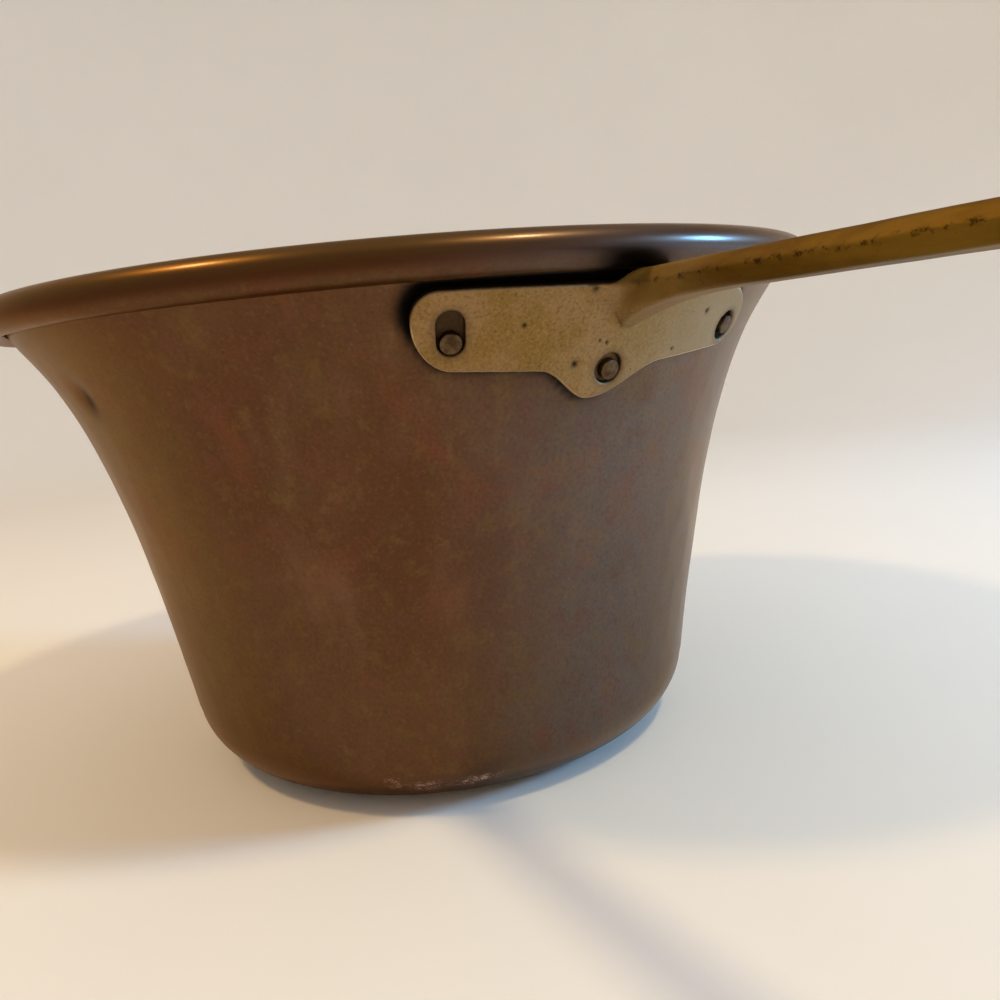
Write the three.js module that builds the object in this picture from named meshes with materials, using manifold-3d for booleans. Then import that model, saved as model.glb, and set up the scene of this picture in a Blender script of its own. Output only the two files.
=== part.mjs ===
// Copper polenta pot with a cast handle.
// Millimetres, +Z up. The origin is the centre of the base on the surface that the pot stands on,
// and the handle runs out along +X.

import * as THREE from 'three';
import { mergeVertices } from 'three/addons/utils/BufferGeometryUtils.js';
import Module from 'manifold-3d';

const wasm = await Module();
wasm.setup();

const degree = Math.PI / 180;

// Sizes of the copper body

const rimDiameter = 280;
const potHeight = 161.7;
const sheetThickness = 1.5;
const footCornerRadius = 25;
const footDiameter = 183.2;
const wallTaper = 8.8 * degree;
const flareHeight = 30;
const beadDiameter = 10;
const neckDrop = 13.7;
const curlLean = 12 * degree;
const curlGap = 0.5;

// Sizes of the wire in the rim

const wireClearance = 0.3;

// Sizes of the cast handle

const seatGap = 0.3;
const plateThickness = 2.8;
const plateLength = 105.2;
const plateShift = -1.8;
const plateTopDrop = 1.8;
const plateTopTilt = 1.5 * degree;
const plateDepth = 20.8;
const armTaper = 5.4 * degree;
const armBend = 12;
const lobeDrop = 7.2;
const lobeShift = -8;
const lobeLeftReach = 14.5;
const lobeRightReach = 24.5;
const leftUpperCorner = 7;
const leftLowerCorner = 9;
const leftUpperShare = 0.42;
const rightUpperCorner = 14;
const rightLowerCorner = 9;
const rightUpperShare = 0.55;
const plateEdgeChamfer = 0.8;
const barThickness = 7.3;
const barTopDrop = 0.3;
const barRootWidth = 13;
const barGripWidth = 20;
const barRidgeRise = 3.9;
const barBevelWidth = 1.8;
const barEdgeRound = 0.6;
const rootFillet = 8;
const rootDeepening = 6;
const rootSoftness = 11;
const rootToeShare = 0.2;
const rootDepth = 2.2;
const rootBlend = 28;
const handleReach = 345;
const eyeEndWidth = 28;
const eyeDiameter = 13;
const eyeChamfer = 0.8;
const eyeShoulder = 26;

// Sizes of the rivets and their holes

const rivetShankDiameter = 4.2;
const rivetHoleClearance = 0.3;
const rivetHeadDiameter = 11;
const rivetHeadHeight = 2.2;
const rivetEndDiameter = 5.5;
const rivetEndDome = 0.4;
const rivetSeatGap = 0.3;
const landThickness = 0.9;
const sideRivetSpan = 89.4;
const sideRivetShift = -0.6;
const sideRivetDrop = 11.3;
const rivetRowTilt = 0.65 * degree;
const lowerRivetShift = -1.6;
const lowerRivetDrop = 20.9;
const leftSlotWidth = 6.8;
const leftSlotHeight = 11.6;
const leftSlotDirection = 90 * degree;
const rightMouthDiameter = 8.6;
const rightMouthDirection = 180 * degree;
const lowerMouthDiameter = 8.2;
const lowerMouthDirection = 140 * degree;

// Overshoot of a cutting shape past the face that it cuts

const cutterOver = 1;

// Largest share of a narrow section's width that one chamfered or rounded edge takes

const edgeLimit = 1 / 3;

// Number of facets and steps

const turnFacets = 64;
const wallSteps = 10;
const wallStepCrowding = 1.6;
const cornerSteps = 5;
const neckSteps = 3;
const neckSamples = 24;
const curlSteps = 14;
const wireSides = 8;
const rivetFacets = 16;
const holeFacets = 24;
const plateStations = 15;
const plateEndStations = 7;
const plateFaceSteps = 4;
const barFilletSteps = 4;
const barBlendSteps = 5;
const barShoulderSteps = 6;
const barEndSteps = 8;
const barFilletCrowding = 1.5;
const rivetHeadSteps = 4;
const rivetDomeSteps = 2;
const lastStepShare = 0.25;
const weldDistance = 1e-4;

// Values worked out from the sizes

const beadRadius = beadDiameter / 2;
const beadCentre = new THREE.Vector2(rimDiameter / 2 - beadRadius, potHeight - beadRadius);
const curlRadius = beadRadius - sheetThickness / 2;
const footTopRadius = footDiameter / 2;
const footFlatRadius = footTopRadius - footCornerRadius * Math.cos(wallTaper);
const footTopHeight = footCornerRadius * (1 - Math.sin(wallTaper));
const neckHeight = potHeight - neckDrop;
const flareReference = potHeight - beadDiameter;
const taperAtReference = footTopRadius + Math.tan(wallTaper) * (flareReference - footTopHeight);
const flareReach = beadCentre.x - beadRadius - taperAtReference;
const barTop = potHeight - beadDiameter - barTopDrop;
const barBottom = barTop - barThickness;
const plateTop = potHeight - beadDiameter - plateTopDrop;

// Outer radius of the wall at height z: a cone, plus a flare that grows by the same factor in each step up

function wallRadius(z) {
  const cone = footTopRadius + Math.tan(wallTaper) * (z - footTopHeight);
  return cone + flareReach * Math.exp((z - flareReference) / flareHeight);
}

function wallSlope(z) {
  const flare = flareReach / flareHeight * Math.exp((z - flareReference) / flareHeight);
  return Math.atan(Math.tan(wallTaper) + flare);
}

// Point at a distance outside the wall, square to it, as (radius, height)

function outsideWall(z, distance) {
  const slope = wallSlope(z);
  const radius = wallRadius(z) + distance * Math.cos(slope);
  return new THREE.Vector2(radius, z - distance * Math.sin(slope));
}

// Turns a profile of (radius, height) points about the Z axis

function revolve(points, facets = turnFacets) {
  return new THREE.LatheGeometry(points, facets).rotateX(Math.PI / 2);
}

// Closed solid from a geometry whose faces point outwards

function solidOf(geometry) {
  const bare = geometry.clone();
  bare.deleteAttribute('normal');
  bare.deleteAttribute('uv');
  const merged = mergeVertices(bare, weldDistance);
  const corners = merged.index.array;
  const kept = [];
  for (let i = 0; i < corners.length; i += 3) {
    const [a, b, c] = [corners[i], corners[i + 1], corners[i + 2]];
    if (a !== b && b !== c && c !== a) kept.push(a, b, c);
  }
  return new wasm.Manifold(new wasm.Mesh({
    numProp: 3,
    vertProperties: new Float32Array(merged.attributes.position.array),
    triVerts: new Uint32Array(kept),
  }));
}

function geometryOf(solid) {
  const mesh = solid.getMesh();
  const geometry = new THREE.BufferGeometry();
  geometry.setAttribute('position', new THREE.BufferAttribute(mesh.vertProperties, 3));
  geometry.setIndex(new THREE.BufferAttribute(mesh.triVerts, 1));
  geometry.computeVertexNormals();
  return geometry;
}

// Closed skin over a row of rings, each an array of the same number of points, with flat ends

function loft(rings) {
  const count = rings[0].length;
  const positions = rings.flat().flatMap((point) => [point.x, point.y, point.z]);
  const index = [];
  for (let i = 0; i < rings.length - 1; i += 1) {
    for (let j = 0; j < count; j += 1) {
      const a = i * count + j;
      const b = i * count + (j + 1) % count;
      index.push(a, b, a + count, b, b + count, a + count);
    }
  }
  const last = (rings.length - 1) * count;
  for (const [start, flipped] of [[0, true], [last, false]]) {
    const flat = flatCoordinates(rings[start / count]);
    for (const [a, b, c] of THREE.ShapeUtils.triangulateShape(flat, [])) {
      index.push(start + a, start + (flipped ? c : b), start + (flipped ? b : c));
    }
  }
  const geometry = new THREE.BufferGeometry();
  geometry.setAttribute('position', new THREE.Float32BufferAttribute(positions, 3));
  geometry.setIndex(index);
  return geometry;
}

// The points of a ring in the plane that its own area faces

function flatCoordinates(ring) {
  const normal = new THREE.Vector3();
  for (let i = 0; i < ring.length; i += 1) {
    normal.add(ring[i].clone().cross(ring[(i + 1) % ring.length]));
  }
  normal.normalize();
  const across = ring[1].clone().sub(ring[0]).normalize();
  const up = normal.clone().cross(across);
  return ring.map((point) => new THREE.Vector2(point.dot(across), point.dot(up)));
}

// The middle of the sheet as a row of points with the direction of travel, from the axis to the cut edge

function footPath() {
  const middle = footCornerRadius - sheetThickness / 2;
  const path = [{ r: 0, z: sheetThickness / 2, heading: 0 }];
  for (let i = 0; i <= cornerSteps; i += 1) {
    const heading = (Math.PI / 2 - wallTaper) * i / cornerSteps;
    const r = footFlatRadius + middle * Math.sin(heading);
    const z = footCornerRadius - middle * Math.cos(heading);
    path.push({ r, z, heading });
  }
  return path;
}

function wallStation(z) {
  const middle = outsideWall(z, -sheetThickness / 2);
  return { r: middle.x, z: middle.y, heading: Math.PI / 2 - wallSlope(z) };
}

function wallPath() {
  const path = [];
  for (let i = 1; i <= wallSteps; i += 1) {
    const left = (1 - i / wallSteps) ** wallStepCrowding;
    path.push(wallStation(neckHeight - (neckHeight - footTopHeight) * left));
  }
  return path;
}

// From the wall to the curl the sheet bends in along a quadratic curve that leaves both without a kink

function neckPath(steps) {
  const from = wallStation(neckHeight);
  const start = curlStation(Math.PI - curlLean);
  const [c1, s1] = [Math.cos(from.heading), Math.sin(from.heading)];
  const [c2, s2] = [Math.cos(start.heading), Math.sin(start.heading)];
  const ahead = ((start.r - from.r) * s2 - (start.z - from.z) * c2) / (c1 * s2 - s1 * c2);
  const bend = new THREE.Vector2(from.r + ahead * c1, from.z + ahead * s1);
  const curve = new THREE.QuadraticBezierCurve(
    new THREE.Vector2(from.r, from.z),
    bend,
    new THREE.Vector2(start.r, start.z),
  );
  const path = [];
  for (let i = 1; i <= steps; i += 1) {
    const point = curve.getPoint(i / steps);
    const tangent = curve.getTangent(i / steps);
    path.push({ r: point.x, z: point.y, heading: Math.atan2(tangent.y, tangent.x) });
  }
  return path;
}

function curlStation(angle) {
  const r = beadCentre.x + curlRadius * Math.cos(angle);
  const z = beadCentre.y + curlRadius * Math.sin(angle);
  return { r, z, heading: angle - Math.PI / 2 };
}

// The curl runs over the wire and back under it until its edge is a small gap from the wall

function curlPath() {
  const wall = neckPath(neckSamples).map((station) => sidePoint(station, 1));
  const from = Math.PI - curlLean;
  let to = -Math.PI / 2;
  const gapAt = (angle) => {
    const edge = sidePoint(curlStation(angle), -1);
    return Math.min(...wall.map((point) => point.distanceTo(edge)));
  };
  while (to > -Math.PI && gapAt(to - degree) > curlGap) to -= degree;
  const path = [];
  for (let i = 1; i <= curlSteps; i += 1) {
    path.push(curlStation(from + (to - from) * i / curlSteps));
  }
  return path;
}

// Point on the outer (+1) or the inner (-1) side of the sheet

function sidePoint(station, side) {
  const half = side * sheetThickness / 2;
  const r = station.r + half * Math.sin(station.heading);
  const z = station.z - half * Math.cos(station.heading);
  return new THREE.Vector2(r, z);
}

function rawBody() {
  const path = [...footPath(), ...wallPath(), ...neckPath(neckSteps), ...curlPath()];
  const outside = path.map((station) => sidePoint(station, 1));
  const inside = path.map((station) => sidePoint(station, -1)).reverse();
  return revolve([...outside, ...inside]);
}

function rimWire() {
  const radius = beadRadius - sheetThickness - wireClearance;
  return new THREE.TorusGeometry(beadCentre.x, radius, wireSides, turnFacets);
}

// Outline of the handle plate, as heights at a distance along the wall from the plate's middle.
// The top edge falls to the right and the bottom edge rises to both ends.

const plateMiddle = plateTop - plateDepth / 2;
const plateArcRadius = wallRadius(plateMiddle);
const plateHalf = plateLength / 2;

function plateTopLine(along) {
  return plateTop - Math.tan(plateTopTilt) * (along + plateShift);
}

function plateBottomLine(along) {
  const rise = Math.tan(armTaper) * (Math.hypot(along, armBend) - armBend);
  return plateTop - plateDepth + rise;
}

// The lobe for the lowest rivet is a bell that falls faster on the left than on the right

function lobeAt(along) {
  const past = along + plateShift - lobeShift;
  const share = Math.min(1, past < 0 ? -past / lobeLeftReach : past / lobeRightReach);
  return lobeDrop * (1 + Math.cos(Math.PI * share)) / 2;
}

// Each end is closed by an upper and a lower quarter ellipse that meet at a share of its depth

function plateEnd(along) {
  const outer = Math.sign(along) * plateHalf;
  const depth = plateTopLine(outer) - plateBottomLine(outer);
  const [share, upper, lower] = along < 0
    ? [leftUpperShare, leftUpperCorner, leftLowerCorner]
    : [rightUpperShare, rightUpperCorner, rightLowerCorner];
  return {
    above: depth * share * cornerShare(along, upper),
    below: depth * (1 - share) * cornerShare(along, lower),
  };
}

function cornerShare(along, length) {
  const past = Math.min(Math.max(0, Math.abs(along) - (plateHalf - length)), length) / length;
  return 1 - Math.sqrt(1 - past * past);
}

// Cross-section of the plate, wrapped on the wall: square to the sheet, with chamfered outer edges

function plateSection(along) {
  const end = plateEnd(along);
  const top = plateTopLine(along) - end.above;
  const bottom = plateBottomLine(along) - lobeAt(along) + end.below;
  const chamfer = Math.min(plateEdgeChamfer, (top - bottom) * edgeLimit);
  const section = [];
  for (let i = 0; i <= plateFaceSteps; i += 1) {
    section.push([bottom + (top - bottom) * i / plateFaceSteps, 0]);
  }
  section.push([top, plateThickness - chamfer]);
  for (let i = 0; i <= plateFaceSteps; i += 1) {
    const inner = (top - bottom - 2 * chamfer) * i / plateFaceSteps;
    section.push([top - chamfer - inner, plateThickness]);
  }
  section.push([bottom, plateThickness - chamfer]);
  const angle = (along + plateShift) / plateArcRadius;
  return section.map(([z, proud]) => {
    const point = outsideWall(z, seatGap + proud);
    return new THREE.Vector3(point.x * Math.cos(angle), point.x * Math.sin(angle), point.y);
  });
}

function plate() {
  const corner = Math.max(leftUpperCorner, leftLowerCorner, rightUpperCorner, rightLowerCorner);
  const straight = plateHalf - corner;
  const places = [];
  for (let i = 0; i < plateStations; i += 1) places.push(straight * i / plateStations);
  for (let i = 0; i <= plateEndStations; i += 1) {
    const turn = Math.PI / 2 * i / (plateEndStations + lastStepShare);
    places.push(straight + corner * Math.sin(turn));
  }
  const left = places.slice(1).reverse().map((along) => -along);
  return loft([...left, ...places].map(plateSection));
}

// Distance from the pot's axis plane to the plate's front face, at a place across and a height

function plateFront(across, z) {
  const proud = seatGap + plateThickness;
  const foot = z + proud * Math.sin(wallSlope(z));
  const radius = wallRadius(foot) + proud * Math.cos(wallSlope(foot));
  return Math.sqrt(radius * radius - across * across);
}

// The handle bar: its section has a casting ridge on both sides, and grows into the plate by a fillet

const barMiddle = barTop - barThickness / 2;
const barStart = plateFront(0, barMiddle);
const barLength = handleReach - barStart;
const eyeDistance = barLength - eyeEndWidth / 2;

function filletAt(distance) {
  const left = Math.min(Math.max(0, rootFillet - distance), rootFillet);
  return rootFillet - Math.sqrt(rootFillet * rootFillet - left * left);
}

function barHalfWidth(distance) {
  const endRadius = eyeEndWidth / 2;
  if (distance > eyeDistance) {
    const past = distance - eyeDistance;
    return Math.sqrt(Math.max(0, endRadius * endRadius - past * past));
  }
  const along = Math.max(0, distance) / eyeDistance;
  const grip = (barRootWidth + (barGripWidth - barRootWidth) * along) / 2;
  const shoulder = THREE.MathUtils.smoothstep(distance, eyeDistance - eyeShoulder, eyeDistance);
  return grip + (endRadius - grip) * shoulder + filletAt(distance);
}

// The fillet widens the bar at its ridge and its top, and narrows its underside to a toe.
// The underside falls towards the plate on an exponential curve, by the root's deepening in all.

function barSection(distance) {
  const straight = THREE.MathUtils.smoothstep(distance, rootFillet, rootFillet + rootBlend);
  const deeper = rootDeepening * Math.exp(-Math.max(0, distance) / rootSoftness) * (1 - straight);
  const half = barHalfWidth(distance);
  const bevel = Math.min(barBevelWidth, half * edgeLimit);
  const round = Math.min(barEdgeRound, half * edgeLimit);
  const fillet = filletAt(distance);
  const share = fillet / rootFillet;
  const bottom = barBottom - deeper;
  const topAt = (across) => barTop - share * (barTop - plateTopLine(across - plateShift));
  const ridge = barBottom + barRidgeRise;
  const side = half - bevel;
  const lower = (side - fillet) * (1 - share * (1 - rootToeShare));
  const outline = [
    [half, ridge],
    [side, topAt(side) - round],
    [side - round, topAt(side)],
    [round - side, topAt(-side)],
    [-side, topAt(-side) - round],
    [-half, ridge],
    [-lower, bottom + round],
    [round - lower, bottom],
    [lower - round, bottom],
    [lower, bottom + round],
  ];
  return outline.map(([across, z]) => {
    const start = plateFront(across, z) * (1 - straight) + barStart * straight;
    return new THREE.Vector3(start + distance, across, z);
  });
}

// Distances of the bar's sections from the plate, closer together where the outline turns

function barDistances() {
  const list = [-rootDepth, 0];
  for (let i = 1; i <= barFilletSteps; i += 1) {
    list.push(rootFillet * (i / barFilletSteps) ** barFilletCrowding);
  }
  for (let i = 1; i <= barBlendSteps; i += 1) {
    list.push(rootFillet + rootBlend * i / barBlendSteps);
  }
  for (let i = 0; i <= barShoulderSteps; i += 1) {
    list.push(eyeDistance - eyeShoulder * (1 - i / barShoulderSteps));
  }
  for (let i = 1; i <= barEndSteps; i += 1) {
    const turn = Math.PI / 2 * i / (barEndSteps + lastStepShare);
    list.push(eyeDistance + eyeEndWidth / 2 * Math.sin(turn));
  }
  return list;
}

function bar() {
  return loft(barDistances().map(barSection));
}

// The hanging eye: a round hole through the bar's end, chamfered on both faces

function eyeCutter() {
  const radius = eyeDiameter / 2;
  const reach = barThickness / 2;
  const wide = radius + eyeChamfer + cutterOver;
  const profile = [
    new THREE.Vector2(0, -reach - cutterOver),
    new THREE.Vector2(wide, -reach - cutterOver),
    new THREE.Vector2(radius, eyeChamfer - reach),
    new THREE.Vector2(radius, reach - eyeChamfer),
    new THREE.Vector2(wide, reach + cutterOver),
    new THREE.Vector2(0, reach + cutterOver),
  ];
  return revolve(profile, holeFacets).translate(barStart + eyeDistance, 0, barMiddle);
}

// The three rivets: their places on the wall, and the wide mouth that each has in the plate.
// A mouth is off centre, away from the rivet's end, in its own direction. The row of the two
// side rivets falls a little to the right.

function sideSite(name, side, mouth) {
  const along = sideRivetShift + side * sideRivetSpan / 2;
  return { name, along, z: plateTop - sideRivetDrop - Math.tan(rivetRowTilt) * along, mouth };
}

const rivetSites = [
  sideSite('rivet_left', -1, mouthOutline(leftSlotWidth, leftSlotHeight, leftSlotDirection)),
  sideSite('rivet_right', 1, mouthOutline(rightMouthDiameter, rightMouthDiameter, rightMouthDirection)),
  {
    name: 'rivet_lower',
    along: lowerRivetShift,
    z: plateTop - lowerRivetDrop,
    mouth: mouthOutline(lowerMouthDiameter, lowerMouthDiameter, lowerMouthDirection),
  },
];

// Outline with round ends, a circle where its two sizes are alike

function mouthOutline(width, height, direction) {
  const shift = (height - rivetEndDiameter) / 2 - rivetHoleClearance;
  const x = shift * Math.cos(direction);
  const y = shift * Math.sin(direction);
  const rise = (height - width) / 2;
  const shape = new THREE.Shape();
  shape.absarc(x, y + rise, width / 2, 0, Math.PI, false);
  shape.absarc(x, y - rise, width / 2, Math.PI, 2 * Math.PI, false);
  return shape;
}

// Frame of a rivet: local +Z points out of the wall, square to it, local +Y runs up the wall,
// and the origin is on the outside of the sheet

function rivetFrame(site) {
  const angle = site.along / plateArcRadius;
  const slope = wallSlope(site.z);
  const radial = new THREE.Vector3(Math.cos(angle), Math.sin(angle), 0);
  const out = radial.clone().multiplyScalar(Math.cos(slope));
  out.z = -Math.sin(slope);
  const side = new THREE.Vector3(-Math.sin(angle), Math.cos(angle), 0);
  const up = out.clone().cross(side);
  const place = radial.clone().multiplyScalar(wallRadius(site.z));
  place.z = site.z;
  return new THREE.Matrix4().makeBasis(side, up, out).setPosition(place);
}

const rivetHoleRadius = rivetShankDiameter / 2 + rivetHoleClearance;
const landTop = seatGap + landThickness;

// The head is lifted by the bow of the wall under it

function rivet(site) {
  const shank = rivetShankDiameter / 2;
  const head = rivetHeadDiameter / 2;
  const bow = head * head / (2 * wallRadius(site.z));
  const seat = -sheetThickness - rivetSeatGap - bow;
  const end = rivetEndDiameter / 2;
  const endFoot = landTop + rivetSeatGap;
  const endTop = seatGap + plateThickness;
  const profile = [];
  for (let i = 0; i <= rivetHeadSteps; i += 1) {
    const turn = Math.PI / 2 * i / rivetHeadSteps;
    profile.push(new THREE.Vector2(head * Math.sin(turn), seat - rivetHeadHeight * Math.cos(turn)));
  }
  profile.push(new THREE.Vector2(shank, seat));
  profile.push(new THREE.Vector2(shank, endFoot));
  profile.push(new THREE.Vector2(end, endFoot));
  for (let i = 0; i <= rivetDomeSteps; i += 1) {
    const out = 1 - i / rivetDomeSteps;
    profile.push(new THREE.Vector2(end * out, endTop - rivetEndDome * out * out));
  }
  return revolve(profile, rivetFacets);
}

// Through hole for the shank, from inside the pot to the front of the plate

function shankCutter(site) {
  const from = -sheetThickness - cutterOver;
  const to = seatGap + plateThickness + cutterOver;
  const length = to - from;
  const hole = new THREE.CylinderGeometry(rivetHoleRadius, rivetHoleRadius, length, holeFacets);
  hole.rotateX(Math.PI / 2).translate(0, 0, (from + to) / 2);
  return hole.applyMatrix4(rivetFrame(site));
}

// The wide mouth goes into the plate down to the land that the rivet's end bears on

function mouthCutter(site) {
  const depth = seatGap + plateThickness + cutterOver - landTop;
  const mouth = new THREE.ExtrudeGeometry(site.mouth, {
    depth,
    bevelEnabled: false,
    curveSegments: holeFacets / 2,
  });
  return mouth.translate(0, 0, landTop).applyMatrix4(rivetFrame(site));
}

function potBody() {
  let body = solidOf(rawBody());
  for (const site of rivetSites) body = body.subtract(solidOf(shankCutter(site)));
  return geometryOf(body);
}

function handle() {
  let casting = solidOf(plate()).add(solidOf(bar()));
  casting = casting.subtract(solidOf(eyeCutter()));
  for (const site of rivetSites) {
    casting = casting.subtract(solidOf(shankCutter(site)));
    casting = casting.subtract(solidOf(mouthCutter(site)));
  }
  return geometryOf(casting);
}

// Finishes

const copper = new THREE.MeshStandardMaterial({ color: 0x7d5a4c, roughness: 0.38, metalness: 1 });
const iron = new THREE.MeshStandardMaterial({ color: 0x55504c, roughness: 0.6, metalness: 1 });
const brass = new THREE.MeshStandardMaterial({ color: 0x8d6a35, roughness: 0.5, metalness: 1 });
const rivetMetal = new THREE.MeshStandardMaterial({ color: 0x6b5b50, roughness: 0.5, metalness: 1 });

function piece(name, geometry, material) {
  const mesh = new THREE.Mesh(geometry, material);
  mesh.name = name;
  return mesh;
}

const pot = new THREE.Group();
pot.add(piece('pot_body', potBody(), copper));

const wire = piece('rim_wire', rimWire(), iron);
wire.position.z = beadCentre.y;
pot.add(wire);

pot.add(piece('handle', handle(), brass));

for (const site of rivetSites) {
  const mesh = piece(site.name, rivet(site), rivetMetal);
  mesh.applyMatrix4(rivetFrame(site));
  pot.add(mesh);
}

export default pot;
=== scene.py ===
# %% [markdown]
# # A copper polenta pot, dressed for the picture
#
# The CAD model says where everything is: a flared copper pot, a bead rolled round an iron wire,
# and a cast handle with three rivets. This lesson puts the looks on it. The pot, the handle and the
# rivets are worked out again with numpy, finer than the CAD facets, and every piece, the hidden
# wire too, then gets a material made only of nodes.
#
# Everything is in metres, in the frame of the CAD model: the origin is the middle of the base,
# +Z is up and the handle runs out along +X.

# %% Load the frame
from math import cos, pi, radians, sin, sqrt, tan

import bpy
import numpy as np
from mathutils import Matrix, Vector


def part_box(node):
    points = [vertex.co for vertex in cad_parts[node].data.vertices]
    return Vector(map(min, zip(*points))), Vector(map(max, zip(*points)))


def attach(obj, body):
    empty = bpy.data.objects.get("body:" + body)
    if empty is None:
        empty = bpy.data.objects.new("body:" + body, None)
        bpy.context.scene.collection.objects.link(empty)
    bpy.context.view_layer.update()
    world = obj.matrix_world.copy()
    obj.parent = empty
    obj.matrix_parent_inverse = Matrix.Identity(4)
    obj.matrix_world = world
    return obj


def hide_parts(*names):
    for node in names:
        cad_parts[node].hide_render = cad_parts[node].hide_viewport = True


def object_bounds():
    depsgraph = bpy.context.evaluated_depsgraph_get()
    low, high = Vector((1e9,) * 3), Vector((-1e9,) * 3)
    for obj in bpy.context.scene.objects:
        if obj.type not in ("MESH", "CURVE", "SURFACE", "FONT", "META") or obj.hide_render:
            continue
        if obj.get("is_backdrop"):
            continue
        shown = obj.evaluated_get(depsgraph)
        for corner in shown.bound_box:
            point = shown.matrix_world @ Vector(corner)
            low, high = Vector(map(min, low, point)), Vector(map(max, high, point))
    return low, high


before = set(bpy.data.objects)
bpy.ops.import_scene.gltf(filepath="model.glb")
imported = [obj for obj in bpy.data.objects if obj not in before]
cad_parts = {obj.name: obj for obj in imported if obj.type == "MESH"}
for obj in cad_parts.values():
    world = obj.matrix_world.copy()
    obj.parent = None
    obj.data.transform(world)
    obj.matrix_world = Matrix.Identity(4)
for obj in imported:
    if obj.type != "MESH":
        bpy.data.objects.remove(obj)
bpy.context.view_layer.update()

# %% [markdown]
# ## The driving sizes
#
# A coppersmith thinks in a few sizes: how wide the mouth is, how high the pot stands, how thick
# the sheet is, how fast the wall opens. These are the named sizes of the CAD model, in metres,
# and the rest follows from them. The print gives the mouth and the height of the model's own box.

# %% Sizes of the pot
mm = 0.001

rim_radius = 140 * mm
pot_height = 161.7 * mm
sheet = 1.5 * mm
foot_corner = 25 * mm
foot_radius = 91.6 * mm
taper = radians(8.8)
flare_height = 30 * mm
bead_radius = 5 * mm
neck_drop = 13.7 * mm
curl_lean = radians(12)
curl_gap = 0.5 * mm

bead_r = rim_radius - bead_radius
bead_z = pot_height - bead_radius
foot_flat = foot_radius - foot_corner * cos(taper)
foot_top = foot_corner * (1 - sin(taper))
neck_z = pot_height - neck_drop
flare_reference = pot_height - 2 * bead_radius
flare_reach = bead_r - bead_radius - foot_radius - tan(taper) * (flare_reference - foot_top)
body_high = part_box("pot_body")[1]
print("mouth and height in mm:", round(2000 * body_high[1]), round(1000 * body_high[2], 1))
print("flare reaches", round(1000 * flare_reach, 2), "mm past the cone")

# %% [markdown]
# ## The wall as a formula
#
# The wall is a plain cone with a flare on top of it. The flare is small at the foot and grows by
# the same factor with every step up, as it does when a smith stretches the sheet over a stake.
# An exponential says just that, so one short formula gives the whole wall, its slope and every
# point a set distance off it.

# %% The wall's radius, slope and offset


def wall_radius(z):
    """Cone through the foot, plus a flare that grows by a steady factor with height."""
    cone = foot_radius + tan(taper) * (z - foot_top)
    return cone + flare_reach * np.exp((z - flare_reference) / flare_height)


def wall_slope(z):
    """Angle by which the wall leans out at height z: the arctangent of the radius's rate."""
    return np.arctan(tan(taper) + flare_reach / flare_height * np.exp((z - flare_reference) / flare_height))


def off_wall(z, distance):
    """Radius and height of the point at a distance from the wall, square to it."""
    slope = wall_slope(z)
    return wall_radius(z) + distance * np.cos(slope), z - distance * np.sin(slope)


print("wall at mid height:", round(1000 * float(wall_radius(pot_height / 2)), 1), "mm")

# %% [markdown]
# ## Numpy to mesh
#
# A surface of two parameters is a grid of points. These helpers turn such a grid into a mesh:
# rows run along the shape and columns run round it, so the columns join up again. A shape that
# ends on the axis is closed there by a fan, and an open tube by one flat face at each end.

# %% Helpers from arrays to a mesh


def ring_quads(rows, columns):
    """Corner numbers of the quads between row i and i + 1, where column j + 1 wraps round."""
    row = np.arange(rows - 1)[:, None] * columns
    here = np.arange(columns)[None, :]
    right = (here + 1) % columns
    quads = np.stack([row + here, row + right, row + columns + right, row + columns + here], axis=-1)
    return quads.reshape(-1, 4)


def at_angle(r, angle, z):
    """Points at radius r and height z, turned by an angle about the axis."""
    return np.stack([r * np.cos(angle), r * np.sin(angle), z + 0 * angle], axis=-1)


def new_object(name, data):
    """Object at the origin, linked into the scene."""
    made = bpy.data.objects.new(name, data)
    bpy.context.scene.collection.objects.link(made)
    return made


def new_piece(name, points, faces):
    """Object with a smooth-shaded mesh in the row's frame."""
    mesh = bpy.data.meshes.new(name)
    mesh.from_pydata(points, [], faces)
    mesh.update()
    mesh.shade_smooth()
    return new_object(name, mesh)


def loft(name, rings):
    """Closed skin through rings[i, j], with a flat face on the first and the last ring."""
    rows, columns = rings.shape[:2]
    faces = ring_quads(rows, columns).tolist()
    faces.append(list(range(columns))[::-1])
    faces.append(list(range((rows - 1) * columns, rows * columns)))
    return new_piece(name, rings.reshape(-1, 3), faces)


def turned(name, rings, first, last):
    """Closed skin through rings[i, j], where the ends close in fans on two points of the axis."""
    rows, columns = rings.shape[:2]
    points = np.concatenate([rings.reshape(-1, 3), [first, last]])
    here = np.arange(columns)
    right = (here + 1) % columns
    top, pole = (rows - 1) * columns, rows * columns + 0 * here
    fans = [np.stack([right, here, pole], axis=-1), np.stack([top + here, top + right, pole + 1], axis=-1)]
    faces = ring_quads(rows, columns).tolist() + np.concatenate(fans).tolist()
    return new_piece(name, points, faces)


def corners_of(piece):
    """The piece's vertices as an array of x, y and z."""
    points = np.empty(3 * len(piece.data.vertices))
    piece.data.vertices.foreach_get("co", points)
    return points.reshape(-1, 3)


def paint(piece, name, values):
    """Stores one number for each vertex, for a material to read by its name."""
    layer = piece.data.attributes.new(name, "FLOAT", "POINT")
    layer.data.foreach_set("value", np.asarray(values, dtype=np.float32).ravel())


def report(piece):
    """Prints how many triangles a piece has and how large it is."""
    piece.data.calc_loop_triangles()
    points = corners_of(piece)
    size = np.round(1000 * (points.max(axis=0) - points.min(axis=0)), 1)
    print(piece.name, len(piece.data.loop_triangles), "triangles,", size, "mm")


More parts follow.
